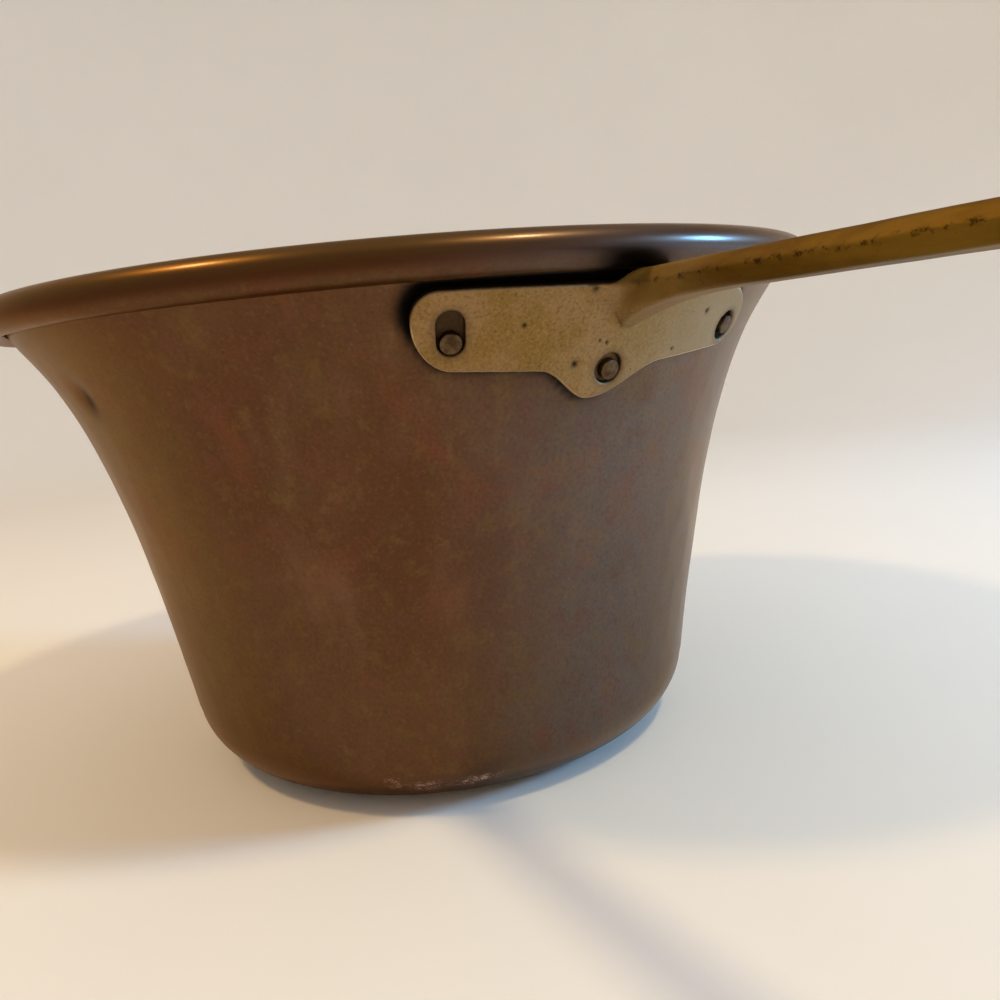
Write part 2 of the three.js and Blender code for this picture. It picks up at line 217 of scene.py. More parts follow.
# %% [markdown]
# ## The sheet from the axis to its cut edge
#
# The pot is one sheet. Its middle line runs flat from the axis, turns up in an arc at the foot,
# climbs the wall, bends in a little and then rolls over the wire and back underneath. Each place
# on it has a radius, a height and a heading, and the two faces of the sheet lie half its
# thickness to either side of that heading. The curl stops where its edge would touch the wall.

# %% The middle line of the sheet


def arc_station(angle):
    """Place on the curl at an angle round the wire: heading is the angle less a quarter turn."""
    reach = bead_radius - sheet / 2
    return np.stack([bead_r + reach * np.cos(angle), bead_z + reach * np.sin(angle), angle - pi / 2], -1)


def wall_station(z):
    """Place in the middle of the sheet behind the outer face at height z."""
    r, height = off_wall(z, -sheet / 2)
    return np.stack([r, height, pi / 2 - wall_slope(z)], -1)


def neck_stations(steps):
    """Quadratic curve from the wall's direction to the curl's: (1-t)^2 a + 2t(1-t) b + t^2 c."""
    a, c = wall_station(np.array(neck_z)), arc_station(np.array(pi - curl_lean))
    (c1, s1), (c2, s2) = (cos(a[2]), sin(a[2])), (cos(c[2]), sin(c[2]))
    ahead = ((c[0] - a[0]) * s2 - (c[1] - a[1]) * c2) / (c1 * s2 - s1 * c2)
    b = a[:2] + ahead * np.array([c1, s1])
    t = np.linspace(0, 1, steps + 1)[1:, None]
    place = (1 - t) ** 2 * a[:2] + 2 * t * (1 - t) * b + t ** 2 * c[:2]
    way = (1 - t) * (b - a[:2]) + t * (c[:2] - b)
    return np.column_stack([place, np.arctan2(way[:, 1], way[:, 0])])


def face_of(stations, side):
    """Points on the outer (+1) or the inner (-1) face of the sheet."""
    r, z, heading = stations.T
    half = side * sheet / 2
    return np.column_stack([r + half * np.sin(heading), z - half * np.cos(heading)])


def curl_end():
    """Angle at which the edge of the curl is a small gap from the outer face of the neck."""
    angles = radians(-90) - np.radians(np.arange(90))
    edges = face_of(arc_station(angles), -1)
    wall = face_of(neck_stations(48), 1)
    gaps = np.hypot(*(edges[:, None] - wall[None]).transpose(2, 0, 1)).min(axis=1)
    return angles[np.argmax(gaps < curl_gap) - 1]


def sheet_line(flat, corner, wall, neck, curl):
    """All stations in one array; the wall's steps crowd towards the neck, where it bends most."""
    middle = foot_corner - sheet / 2
    radius = np.linspace(0, foot_flat, flat, endpoint=False)[1:]
    base = np.column_stack([radius, np.full(radius.shape, sheet / 2), np.zeros(radius.shape)])
    turn = np.linspace(0, pi / 2 - taper, corner)
    foot = np.column_stack([foot_flat + middle * np.sin(turn), foot_corner - middle * np.cos(turn), turn])
    left = (1 - np.linspace(0, 1, wall + 1)[1:]) ** 1.2
    side = wall_station(neck_z - (neck_z - foot_top) * left)
    roll = arc_station(np.linspace(pi - curl_lean, curl_end(), curl + 1)[1:])
    return np.concatenate([base, foot, side, neck_stations(neck), roll])


outer_line = sheet_line(flat=5, corner=16, wall=64, neck=8, curl=20)
inner_line = sheet_line(flat=5, corner=12, wall=44, neck=8, curl=40)
print("sheet line:", len(outer_line), "places outside,", len(inner_line), "inside")

# %% [markdown]
# ## The marks of the hammer
#
# A hand-raised wall is never quite round. It has long shallow waves, and each blow of the
# planishing hammer leaves a flat a few millimetres wide. The waves are a sum of cosines with whole
# numbers of turns, so they close up round the pot. The flats are cups round a jittered lattice:
# depth grows with the square of the distance to the nearest blow. A few knocks are bell shapes.
# A knock or any other spot on the wall is (degrees, height, width, rise, strength).

# %% Waves, hammer flats and knocks
rng = np.random.default_rng(17)
wave_depth = 0.12 * mm
flat_depth = 0.26 * mm
flat_wide, flat_high = 11 * mm, 19 * mm
flat_rows = 8
knocks = [(-77.5, 133, 5, 5, 1.1), (-70, 101, 9, 9, 0.3), (-47, 62, 10, 10, 0.25),
          (31, 92, 8, 8, 0.3), (128, 84, 11, 11, 0.6), (171, 120, 9, 9, 0.45),
          (-150, 47, 10, 10, 0.35)]


def waves(angle, z, count=26):
    """Sum of cosines of (k * angle + f * z + phase), weaker for the short waves."""
    total = np.zeros(np.broadcast(angle, z).shape)
    for _ in range(count):
        k, f = int(rng.integers(2, 13)), rng.normal(0, 55)
        total += np.cos(k * angle + f * z + rng.uniform(0, 2 * pi)) / sqrt(k * k + (f / 12) ** 2)
    return total / np.abs(total).max()


def hammer_flats(angle, z):
    """Square of the distance to the nearest blow of a jittered lattice that closes round the pot."""
    columns = int(2 * pi * foot_radius / flat_wide)
    jitter = rng.uniform(-0.3, 0.3, (flat_rows, columns, 2))
    u, v = angle / (2 * pi) * columns, z / flat_high
    nearest = np.full(np.broadcast(u, v).shape, 9.0)
    for row_step in (-1, 0, 1):
        for column_step in (-1, 0, 1):
            row, column = np.floor(v) + row_step, np.floor(u) + column_step
            shift = jitter[row.astype(int) % flat_rows, column.astype(int) % columns]
            du = u - column - 0.5 - shift[..., 0] - 0.5 * (row % 2)
            du = du - columns * np.round(du / columns)
            nearest = np.minimum(nearest, du ** 2 + (v - row - 0.5 - shift[..., 1]) ** 2)
    return nearest


def spots(places, angle, z):
    """Sum of bells exp(-(across / width)^2 - (up / rise)^2), each with its own strength."""
    total = np.zeros(np.broadcast(angle, z).shape)
    for turn, level, width, rise, strength in places:
        across = (angle - radians(turn) + pi) % (2 * pi) - pi
        across = across * wall_radius(level * mm) / (width * mm)
        total += strength * np.exp(-across ** 2 - ((z - level * mm) / (rise * mm)) ** 2)
    return total


def ramp(value, low, high):
    """Smooth step: zero below low, one above high, and 3t^2 - 2t^3 between."""
    t = np.clip((value - low) / (high - low), 0, 1)
    return t * t * (3 - 2 * t)


def fade(value, low, high):
    """The ramp turned round: one below low and zero above high."""
    return 1 - ramp(value, low, high)


# %% [markdown]
# ## The copper sheet
#
# The two faces of the sheet make one closed profile, and the profile is turned about the axis.
# The hammer marks move both faces together, so the sheet keeps its thickness. They fade out
# towards the foot and the bead, which were finished on a stake.

# %% Build the copper sheet
turns = 448
above_foot, below_bead = (14 * mm, 40 * mm), (136 * mm, 148 * mm)
angle = np.arange(turns)[None, :] * 2 * pi / turns
profile = np.concatenate([face_of(outer_line, 1), face_of(inner_line, -1)[::-1]])
pr, pz = profile[:, :1], profile[:, 1:]
height = np.broadcast_to(pz, (len(profile), turns))
angle_grid = np.broadcast_to(angle, height.shape)
from_wire = np.hypot(pr - bead_r, pz - bead_z) / bead_radius
worked = ramp(pz, *above_foot) * fade(pz, *below_bead)
marks = wave_depth * (waves(angle_grid, height) - 1)
marks += flat_depth * (hammer_flats(angle_grid, height) - 1)
radius = pr + worked * (marks - mm * spots(knocks, angle_grid, height))
rings = at_angle(radius, angle, height)
pot_sheet = turned("pot_sheet", rings, (0, 0, 0), (0, 0, sheet))
report(pot_sheet)
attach(pot_sheet, "root")
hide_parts("pot_body")

# %% [markdown]
# ## The plate of the handle
#
# The handle is one casting: a curved plate that lies on the wall, and a bar that grows out of it.
# The plate's top edge falls a little to the right, its arms narrow towards their ends, and a lobe
# in the middle holds the lowest rivet. Each end closes in two quarter ellipses. Each cross-section
# is a loop of points, up the back and down the front, carried along the wall. The front falls away
# near the outline on a quarter circle, so every edge is rounded.

# %% Sizes and outline of the plate
seat_gap = 0.3 * mm
plate_thick = 2.8 * mm
plate_proud = seat_gap + plate_thick
plate_half, plate_shift = 52.6 * mm, -1.8 * mm
plate_top = flare_reference - 1.8 * mm
plate_depth = 20.8 * mm
top_tilt, arm_taper, arm_bend = radians(1.5), radians(5.4), 12 * mm
lobe_drop, lobe_shift = 7.2 * mm, -8 * mm
lobe_left, lobe_right = 14.5 * mm, 24.5 * mm
left_corners, left_share = (7 * mm, 9 * mm), 0.42
right_corners, right_share = (14 * mm, 9 * mm), 0.55
plate_edge = 0.9 * mm
plate_arc = float(wall_radius(plate_top - plate_depth / 2))
print("plate", round(2000 * plate_half, 1), "mm long, bent to", round(1000 * plate_arc, 1), "mm")


def corner_share(along, length):
    """Part of a quarter ellipse's height that the outline has lost: 1 - sqrt(1 - past^2)."""
    past = np.clip(np.abs(along) - (plate_half - length), 0, length) / length
    return 1 - np.sqrt(1 - past ** 2)


def straight_edges(along):
    """Upper edge, a tilted line, and lower edge, which rises to both ends like a hyperbola."""
    rise = tan(arm_taper) * (np.hypot(along, arm_bend) - arm_bend)
    return plate_top - tan(top_tilt) * (along + plate_shift), plate_top - plate_depth + rise


def plate_outline(along):
    """Upper and lower edge: the straight ones, a cosine bell for the lobe, and round corners."""
    past = along + plate_shift - lobe_shift
    share = np.clip(np.where(past < 0, -past / lobe_left, past / lobe_right), 0, 1)
    lobe = lobe_drop * (1 + np.cos(pi * share)) / 2
    top, bottom = straight_edges(along)
    end_top, end_bottom = straight_edges(np.sign(along) * plate_half)
    left = along < 0
    cut = (end_top - end_bottom) * np.where(left, left_share, right_share)
    above, below = (
        np.where(left, corner_share(along, at_left), corner_share(along, at_right))
        for at_left, at_right in zip(left_corners, right_corners))
    return top - cut * above, bottom - lobe + (end_top - end_bottom - cut) * below


def rounded_front(inset):
    """Height of the front over the back, falling on a quarter circle within an edge's width."""
    short = plate_edge - np.clip(inset, 0, plate_edge)
    return plate_thick - plate_edge + np.sqrt(plate_edge ** 2 - short ** 2)


def plate_rings(stations, steps):
    """Rings of points, wrapped on the wall at angle (along + shift) / arc radius."""
    corner = max(left_corners + right_corners)
    straight = plate_half - corner
    turn = np.linspace(0, pi / 2, 28)[1:-1]
    half = np.concatenate([np.linspace(0, straight, stations), straight + corner * np.sin(turn)])
    along = np.concatenate([-half[:0:-1], half])[:, None]
    top, bottom = plate_outline(along)
    share = (1 - np.cos(np.linspace(0, pi, steps))) / 2
    back = bottom + (top - bottom) * share
    front = back[:, ::-1]
    inset = np.minimum(np.minimum(top - front, front - bottom), plate_half - np.abs(along))
    z = np.concatenate([back, front], axis=1)
    proud = np.concatenate([np.zeros_like(back), rounded_front(inset)], axis=1)
    r, up = off_wall(z, seat_gap + proud)
    return at_angle(r, (along + plate_shift) / plate_arc, up)


casting = loft("handle_casting", plate_rings(stations=60, steps=26))
report(casting)

# %% [markdown]
# ## What the copper's finish and its painted light follow
#
# The finish isn't the same everywhere. The bead is painted dark with a lighter, golden crown:
# a painted highlight over a dark painted reflection. The inside is scoured. Round the handle plate
# lie dirt and painted shade, most of all between the plate and the bead, with a band of painted
# shadow under the plate's left arm. A dark painted reflection lies on the bead over the bar's root
# and in a dent. The side towards the window has a grey painted sheen of the daylight, the left side
# a lighter, olive painted sheen of the warm lamp, and the foot is scuffed pink where it slides on
# the hob. Each of these is a number between 0 and 1, worked out from distances and stored on the
# mesh, so the material only reads it. The curl's outside is the sheet's inner face, rolled outwards
# over the wire.

# %% Paint masks on the sheet
scuffs = [(-38, 11.4, 2.4, 1.6, 0.5), (-31.8, 9.2, 4.8, 1.3, 1.0), (-23.9, 9.2, 2.8, 1.0, 1.0),
          (-20.9, 10.1, 3.2, 0.8, 1.0), (-17.2, 9.6, 2.8, 0.7, 0.75), (62, 11, 7, 1.5, 0.9),
          (141, 9, 9, 1.6, 0.8), (-118, 12, 8, 1.5, 0.9)]
smudges = [(-38.7, 104, 9, 9, 0.9), (-47, 76, 13, 8, 0.5), (-42.4, 72.7, 8, 6, 0.6),
           (-23.7, 69.8, 7, 14, 0.4), (77, 95, 14, 10, 0.6), (-165, 60, 16, 9, 0.6)]
# A dark spot painted into the dent on the left: a painted dark reflection.
dent_reflection_spots = [(-76.6, 132, 4.5, 4.5, 0.7)]
window_turn, warm_sheen_turn = radians(35), radians(-92)


def beside_plate(along, z, reach=9 * mm):
    """Distance to the plate's outline, by the nearest of many points on it, up to a reach."""
    turn = plate_half * np.sin(np.linspace(-pi / 2, pi / 2, 300))
    edge_along, edge_z = np.tile(turn, 2), np.concatenate(plate_outline(turn))
    top, bottom = plate_outline(np.clip(along, -plate_half, plate_half))
    over = (np.abs(along) < plate_half) & (z < top) & (z > bottom)
    near = (np.abs(along) < plate_half + reach) & (z > edge_z.min() - reach) & ~over
    away = np.where(over, 0, reach)
    away[near] = np.hypot(along[near][:, None] - edge_along, z[near][:, None] - edge_z).min(axis=1)
    return away


def with_poles(grid):
    """A grid of numbers as one list, with the end rows' first values for the two poles."""
    grid = np.broadcast_to(grid, height.shape)
    return np.concatenate([grid.ravel(), [grid[0, 0], grid[-1, 0]]])


outside = (np.arange(len(profile)) < len(outer_line))[:, None]
rolled = fade(from_wire, 1.2, 1.5)
bead = rolled * ramp(height, bead_z - 4.5 * mm, bead_z - 0.5 * mm)
along_grid = ((angle_grid + pi) % (2 * pi) - pi) * plate_arc - plate_shift
beside = beside_plate(along_grid, height)
# Painted shade round the handle plate, with some dirt in it: darkest and widest up by the bead.
raised = ramp(height, plate_top - 14 * mm, plate_top - 3 * mm)
grime_and_shade = (0.5 + 0.65 * raised) * np.exp(-(beside / ((1.2 + 2 * raised) * mm)) ** 2)
left_half = fade(along_grid, -4 * mm, 14 * mm)
# A band of painted shadow under the plate's left arm.
grime_and_shade += 0.22 * np.exp(-(beside / (4.5 * mm)) ** 2) * (1 - raised) * left_half
# A dark painted reflection on the lower bead over the bar's root.
under_bead = (pr > bead_r) * fade(height, 153 * mm, 159 * mm)
dark_reflection_over_root = under_bead * np.exp(-((along_grid + 5 * mm) / (10 * mm)) ** 2)
dent_reflection, scuffed, smudged = (outside * spots(s, angle_grid, height) for s in (dent_reflection_spots, scuffs, smudges))
grime_and_shade = outside * ((1 - 0.7 * rolled) * grime_and_shade + dent_reflection) + 0.95 * rolled * dark_reflection_over_root
# A grey painted sheen of the daylight on the side towards the window.
towards_window = ramp(0.5 + 0.5 * np.cos(angle_grid - window_turn), 0.72, 0.97)
sheet_masks = {
    "bead": bead,
    "inside": ~outside * (1 - rolled),
    # Dirt, painted shade and dark painted reflections.
    "grime_and_shade": np.clip(grime_and_shade, 0, 1),
    "scuffs": scuffed,
    "smudges": smudged,
    # Grey painted sheen of the daylight, on the wall and on the bead.
    "window_sheen": np.maximum(outside, rolled) * towards_window,
    # A lighter, olive painted sheen of the warm lamp on the left side.
    "warm_sheen": outside * ramp(np.cos(angle_grid - warm_sheen_turn), 0.8, 0.98),
    # The bead's top, painted lighter as a painted highlight.
    "crown_highlight": bead * ramp(height, bead_z - 2 * mm, bead_z + 4 * mm),
}
for name, mask in sheet_masks.items():
    paint(pot_sheet, name, with_poles(mask))
print(len(sheet_masks), "masks painted on", len(pot_sheet.data.vertices), "vertices")

# %% [markdown]
# ## The bar
#
# The bar's section is a flat six-sided bar with a ridge along each side, where the two halves of
# the mould met. Its width is a function of the distance from the plate: a fillet at the root, a
# grip that widens slowly, a shoulder, and a round end with the hole that it hangs on. Near the
# plate the top settles into the plate's edge, and the underside narrows to a toe and falls on an
# exponential curve.

# %% Sizes of the bar
bar_thick = 7.3 * mm
bar_top = flare_reference - 0.3 * mm
bar_bottom = bar_top - bar_thick
bar_middle = bar_top - bar_thick / 2
bar_ridge = bar_bottom + 3.9 * mm
root_width, grip_width = 13 * mm, 20 * mm
bevel, edge_round = 1.8 * mm, 0.6 * mm
root_fillet, root_depth, root_blend = 8 * mm, 2.2 * mm, 28 * mm
root_deepening, root_softness, root_toe, root_dip = 6 * mm, 11 * mm, 0.2, 1.4 * mm
handle_reach = 345 * mm
eye_radius = 6.5 * mm
eye_end = 14 * mm
eye_shoulder = 26 * mm
eye_chamfer = 0.8 * mm


def plate_front(across, z):
    """Distance from the pot's axis plane to the plate's front: sqrt(radius^2 - across^2)."""
    foot = z + plate_proud * np.sin(wall_slope(z))
    return np.sqrt((wall_radius(foot) + plate_proud * np.cos(wall_slope(foot))) ** 2 - across ** 2)


bar_start = float(plate_front(0, bar_middle))
eye_distance = handle_reach - bar_start - eye_end
print("bar starts", round(1000 * bar_start, 1), "mm out, its eye is", round(1000 * eye_distance), "mm on")

# %% [markdown]
# ## The bar's skin
#
# A bevelled box could stand for a plain bar, but here the section changes all the way. So ten
# corners are worked out at each distance from the plate and joined up, with the rings close
# together where the shape turns fast: in the fillet at the root and round the end.

# %% The bar as a lofted skin


def fillet_at(distance):
    """How much wider the root is: radius - sqrt(radius^2 - what is left of it^2)."""
    left = np.clip(root_fillet - distance, 0, root_fillet)
    return root_fillet - np.sqrt(root_fillet ** 2 - left ** 2)


def half_width(distance):
    """Half the bar's width: a straight taper, a smooth shoulder, and a circle at the end."""
    along = np.maximum(distance, 0) / eye_distance
    grip = (root_width + (grip_width - root_width) * along) / 2
    shoulder = ramp(distance, eye_distance - eye_shoulder, eye_distance)
    width = grip + (eye_end - grip) * shoulder + fillet_at(distance)
    past = np.maximum(distance - eye_distance, 0)
    return np.where(past > 0, np.sqrt(np.maximum(eye_end ** 2 - past ** 2, 0)), width)


def bar_rings(fine):
    """Rings of the bar: ten corners at each distance, with straight sides between them."""
    grip_start = root_fillet + root_blend
    distance = np.concatenate([
        [-root_depth], root_fillet * np.linspace(0, 1, 14, endpoint=False) ** 1.5,
        np.linspace(root_fillet, grip_start, 16, endpoint=False),
        np.linspace(grip_start, eye_distance, 80, endpoint=False),
        eye_distance + eye_end * np.sin(np.linspace(0, pi / 2, 24)[:-1])])[:, None]
    straight = ramp(distance, root_fillet, grip_start)
    half, fillet = half_width(distance), fillet_at(distance)
    share = fillet / root_fillet
    side = half - np.minimum(bevel, half / 3)
    lower = (side - fillet) * (1 - share * (1 - root_toe))
    rim = np.minimum(edge_round, half / 3)
    ridge = np.full_like(half, bar_ridge)
    settle = fade(distance, 0, root_fillet / 2)
    crest = bar_top - root_dip * fade(distance, 0, 0.4 * root_fillet)
    right_top, left_top = (
        crest - settle * (bar_top - straight_edges(s - plate_shift)[0]) for s in (side, -side))
    low = bar_bottom - root_deepening * np.exp(-np.maximum(distance, 0) / root_softness) * (1 - straight)
    across = np.hstack([half, side, side - rim, rim - side, -side, -half,
                        -lower, rim - lower, lower - rim, lower])
    z = np.hstack([ridge, right_top - rim, right_top, left_top, left_top - rim, ridge,
                   low + rim, low, low, low + rim])
    part = np.arange(fine) / fine
    across, z = (
        (a[..., None] * (1 - part) + np.roll(a, -1, axis=1)[..., None] * part).reshape(len(a), -1)
        for a in (across, z))
    start = plate_front(across, z) * (1 - straight) + bar_start * straight
    return np.stack([start + distance, across, z], axis=-1)


bar = loft("handle_bar", bar_rings(fine=4))
report(bar)

# %% [markdown]
# ## Rivets and their mouths
#
# Three rivets hold the plate. Each sits in its own frame: out of the wall, up the wall, and
# across. The plate has a wide mouth over each rivet, off to one side, and the left one is a slot.
# In the rivet's frame a mouth is just a round-ended outline pushed straight in.

# %% Places of the rivets
shank_radius, hole_radius = 2.1 * mm, 2.4 * mm
head_radius, head_height = 5.5 * mm, 2.2 * mm
end_radius, end_dome = 2.75 * mm, 0.4 * mm
land = seat_gap + 0.9 * mm
over = 1 * mm
lip_depth, lip_growth = 0.2 * mm, 1.2
side_drop, row_tilt = 11.3 * mm, tan(radians(0.65))
sites = {
    "rivet_left": (-45.3 * mm, plate_top - side_drop + row_tilt * 45.3 * mm, 6.8 * mm, 11.6 * mm, 90),
    "rivet_right": (44.1 * mm, plate_top - side_drop - row_tilt * 44.1 * mm, 8.6 * mm, 8.6 * mm, 180),
    "rivet_lower": (-1.6 * mm, plate_top - 20.9 * mm, 8.2 * mm, 8.2 * mm, 140),
}


def rivet_frame(along, z):
    """Columns across, up the wall and out of it, and the place on the wall's outer face."""
    turn, slope = along / plate_arc, float(wall_slope(z))
    out, place = at_angle(cos(slope), turn, -sin(slope)), at_angle(wall_radius(z), turn, z)
    across = np.array([-sin(turn), cos(turn), 0])
    return np.stack([across, np.cross(out, across), out]), place


def in_place(points, along, z):
    """Turns points of a rivet's frame into the row's frame: place + x across + y up + z out."""
    axes, place = rivet_frame(along, z)
    return points @ axes + place


def prism(outline, levels):
    """Rings of one outline at several heights of the local Z axis, as (height, growth) pairs."""
    middle = outline.mean(axis=0)
    rings = [np.column_stack([middle + (outline - middle) * grow, np.full(len(outline), level)])
             for level, grow in levels]
    return np.stack(rings)


def mouth_middle(high, direction):
    """A mouth's middle in its rivet's frame: off to one side by the room round the rivet's end."""
    shift = (high - 2 * end_radius) / 2 - (hole_radius - shank_radius)
    return shift * cos(radians(direction)), shift * sin(radians(direction))


circle_steps = 48
circle = np.linspace(0, 2 * pi, circle_steps, endpoint=False)
ahead, up = at_angle(1, circle + pi / circle_steps, 0).T[:2]
hole = at_angle(hole_radius, circle, 0)[:, :2]
shaft = prism(hole, [(-over, 1), (plate_proud + over, 1)])
cutters = []
for name, (along, z, wide, high, direction) in sites.items():
    x, y = mouth_middle(high, direction)
    outline = np.column_stack([x + wide / 2 * ahead, y + wide / 2 * up + (high - wide) / 2 * np.sign(up)])
    mouth = prism(outline, [(land, 1), (plate_proud - lip_depth, 1), (plate_proud + over, lip_growth)])
    cutters.append(loft(name + "_mouth", in_place(mouth, along, z)))
    cutters.append(loft(name + "_hole", in_place(shaft, along, z)))

rim = bar_thick / 2
funnel = np.array([(eye_radius + eye_chamfer + over, -rim - over), (eye_radius, eye_chamfer - rim),
                   (eye_radius, rim - eye_chamfer), (eye_radius + eye_chamfer + over, rim + over)])
eye = at_angle(funnel[:, :1], circle, funnel[:, 1:]) + (bar_start + eye_distance, 0, bar_middle)
cutters.append(loft("eye_hole", eye))
print(len(cutters), "cutting shapes")

# %% [markdown]
# ## One casting
#
# A casting has no seams: where the bar meets the plate the metal flowed together, and every edge
# is a little soft. Joining and cutting gives the sharp shape. A voxel remesh then lays an even skin
# over it, and a few rounds of smoothing melt the edges as sand and years of use do. Last, the skin
# is pushed in by a slow ripple, because cast faces are never flat.

# %% Join, cut and melt the handle
skin_step = 0.42 * mm
ripple_depth, pit_depth, pit_reach = 0.07 * mm, 0.3 * mm, 2.5 * mm
pits = [(-13.3, 130.3, 0.9), (-28.1, 140.6, 0.55), (29.4, 140.8, 0.7), (-11.7, 147.6, 0.75),
        (19.5, 131.7, 0.5), (-7, 135.5, 0.4), (-4.8, 134.9, 0.45)]


def bake_modifiers(piece):
    """Swaps the piece's mesh for what its modifiers make of it."""
    graph = bpy.context.evaluated_depsgraph_get()
    made = bpy.data.meshes.new_from_object(piece.evaluated_get(graph))
    piece.modifiers.clear()
    piece.data = made


def combine(piece, other, operation):
    """Exact join or cut with another closed mesh, which is then gone."""
    step = piece.modifiers.new(operation, "BOOLEAN")
    step.operation, step.object, step.solver = operation, other, "EXACT"
    bake_modifiers(piece)
    bpy.data.objects.remove(other)


def ripples(points, count=24, shortest=7 * mm, longest=40 * mm):
    """Mean of cosines cos(2 pi direction . point / length + phase), between -1 and 1."""
    total = np.zeros(len(points))
    for _ in range(count):
        direction = rng.normal(size=3)
        direction /= np.linalg.norm(direction)
        length = rng.uniform(shortest, longest)
        total += np.cos(2 * pi * points @ direction / length + rng.uniform(0, 2 * pi))
    return total / np.abs(total).max()


combine(casting, bar, "UNION")
for cutter in cutters:
    combine(casting, cutter, "DIFFERENCE")
skin = casting.modifiers.new("skin", "REMESH")
skin.mode, skin.voxel_size, skin.use_smooth_shade = "VOXEL", skin_step, True
melt = casting.modifiers.new("melt", "SMOOTH")
melt.factor, melt.iterations = 0.5, 5
bake_modifiers(casting)
points = corners_of(casting)
vx, vy, vz = points.T  # views, so they follow the push below
normals = np.empty(points.size)
casting.data.vertex_normals.foreach_get("vector", normals)
normals = normals.reshape(-1, 3)
around = np.arctan2(vy, vx) * plate_arc
off_sheet = (np.hypot(vx, vy) - wall_radius(vz)) * np.cos(wall_slope(vz))
pitted = np.zeros(len(points))
for along, z, size in pits:
    away = np.hypot(around - along * mm, vz - z * mm) / (size * mm)
    pitted += np.exp(-away ** 2) * (np.abs(off_sheet - plate_proud) < pit_reach)
pushed = ripple_depth * (ripples(points) - 1) - pit_depth * pitted
points += normals * pushed[:, None]
casting.data.vertices.foreach_set("co", points.ravel())
casting.data.update()
report(casting)
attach(casting, "root")
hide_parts("handle")

# %% [markdown]
# ## Where the casting is dirty, rubbed and worn, and where shade and highlights are painted
#
# Painted shade, with some old polish and soot, lies on the floors of the mouths, each with its own
# share, on the upper edge of the plate behind the bead, and more faintly elsewhere. A vertex gets
# it when it lies deeper than the front of the plate, so the depth is worked out first. Dirt lies
# along the ridge of the bar and in the pits. Edges are the places where the surface turns away from
# the wall's own direction: there the metal is worn pale, with a painted highlight that grows
# towards the right. The bar is golden and the plate is not, but near the plate the bar's underside
# keeps the plate's paler colour as a painted reflection of the floor, and the bar's root is dull.

# %% Paint masks on the casting


def wall_normal(x, y, z):
    """Unit vectors out of the wall: level part cos(slope), turned down by sin(slope)."""
    slope = wall_slope(z)
    return at_angle(np.cos(slope), np.arctan2(y, x), -np.sin(slope))


out = vx - bar_start
recess = plate_proud - off_sheet
# Share of painted shade, with some soot, on the floor of each mouth.
soot_and_shade = {"rivet_left": 0.7, "rivet_right": 0.9, "rivet_lower": 0.15}
mouths, dark_floors, halo = np.zeros((3, len(points)))
for name, (along, z, wide, high, direction) in sites.items():
    axes, place = rivet_frame(along, z)
    x, y = ((points - place) @ axes.T)[:, :2].T - np.array(mouth_middle(high, direction))[:, None]
    edge = np.hypot(x, np.maximum(np.abs(y) - (high - wide) / 2, 0)) - wide / 2
    inside_mouth = fade(edge, 0.1 * mm, 1.2 * mm)
    mouths += inside_mouth
    dark_floors += inside_mouth * soot_and_shade[name]
    halo += fade(edge, 0.2 * mm, 2.6 * mm)
# Painted shade in the recesses, strongest on the upper edge behind the bead.
upper = ramp(vz, plate_top - 9 * mm, plate_top - 1 * mm)
on_floor = ramp(recess, 1.4 * mm, 1.8 * mm)
in_mouths = mouths * (1 - on_floor) + dark_floors * on_floor
elsewhere = (1 - mouths) * (0.25 + 0.75 * upper)
dirt_and_shade = ramp(recess, 0.5 * mm, 1.4 * mm) * np.maximum(in_mouths, elsewhere)
halo = np.minimum(halo, 1)
# Worn pale edges, with a painted highlight on them that grows towards the right.
tilted = 1 - (normals * wall_normal(vx, vy, vz)).sum(axis=1)
worn_edge_and_highlight = ramp(tilted, 0.03, 0.2) * fade(tilted, 0.6, 0.9) * (1 - halo)
highest, lowest = plate_outline(np.clip(around - plate_shift, -plate_half, plate_half))
past_root = np.abs(vy) > root_width / 2 + root_fillet
from_top = np.where(past_root, highest - vz, plate_half)
worn_edge_and_highlight *= fade(np.minimum(from_top, vz - lowest), 1.2 * mm, 2.4 * mm)
# Near the plate the bar's underside, and what lies below its bottom, keep the plate's paler colour:
under = ramp(-normals[:, 2], 0.4, 0.85) * fade(out, 20 * mm, 50 * mm)
# a painted reflection of the floor.
edge_share = np.abs(vy) / half_width(out)
seam = np.exp(-((vz - bar_ridge) / (0.7 * mm)) ** 2) * ramp(edge_share, 0.8, 0.97)
below = ramp(bar_bottom - vz, -1 * mm, 4 * mm)
highlight_to_right = 0.45 + 0.55 * ramp(around, -5 * mm, 25 * mm)
casting_masks = {
    # Golden bar, except its underside near the plate: a painted reflection of the floor.
    "bar": ramp(-recess, -0.2 * mm, 3 * mm) * (1 - 0.85 * np.maximum(under, below)),
    "dull": ramp(-recess, 0, 2 * mm) * fade(out, 16 * mm, 34 * mm),
    # The right arm painted paler: a painted reflection of the daylight.
    "pale": ramp(around, -14 * mm, 40 * mm),
    "seam": seam * ramp(out, 3 * mm, 10 * mm),
    # Painted shade in the recesses, with dirt and the dark pits.
    "dirt_and_shade": np.maximum(dirt_and_shade, pitted) * fade(out, -3 * mm, 5 * mm),
    "stain": halo,
    # Worn edges with a painted highlight.
    "edge": worn_edge_and_highlight * (out < 2 * mm) * highlight_to_right,
}
for name, mask in casting_masks.items():
    paint(casting, name, mask)
print("dirty vertices:", int((dirt_and_shade > 0.5).sum()), "of", len(points))

# %% [markdown]
# ## The rivets
#
# A rivet is turned metal that a hammer has spread: a low dome inside the pot, a thin shank, and an
# end that fills the bottom of its mouth. The profile is turned like the pot, and small waves push
# it in so that no two ends are quite round.

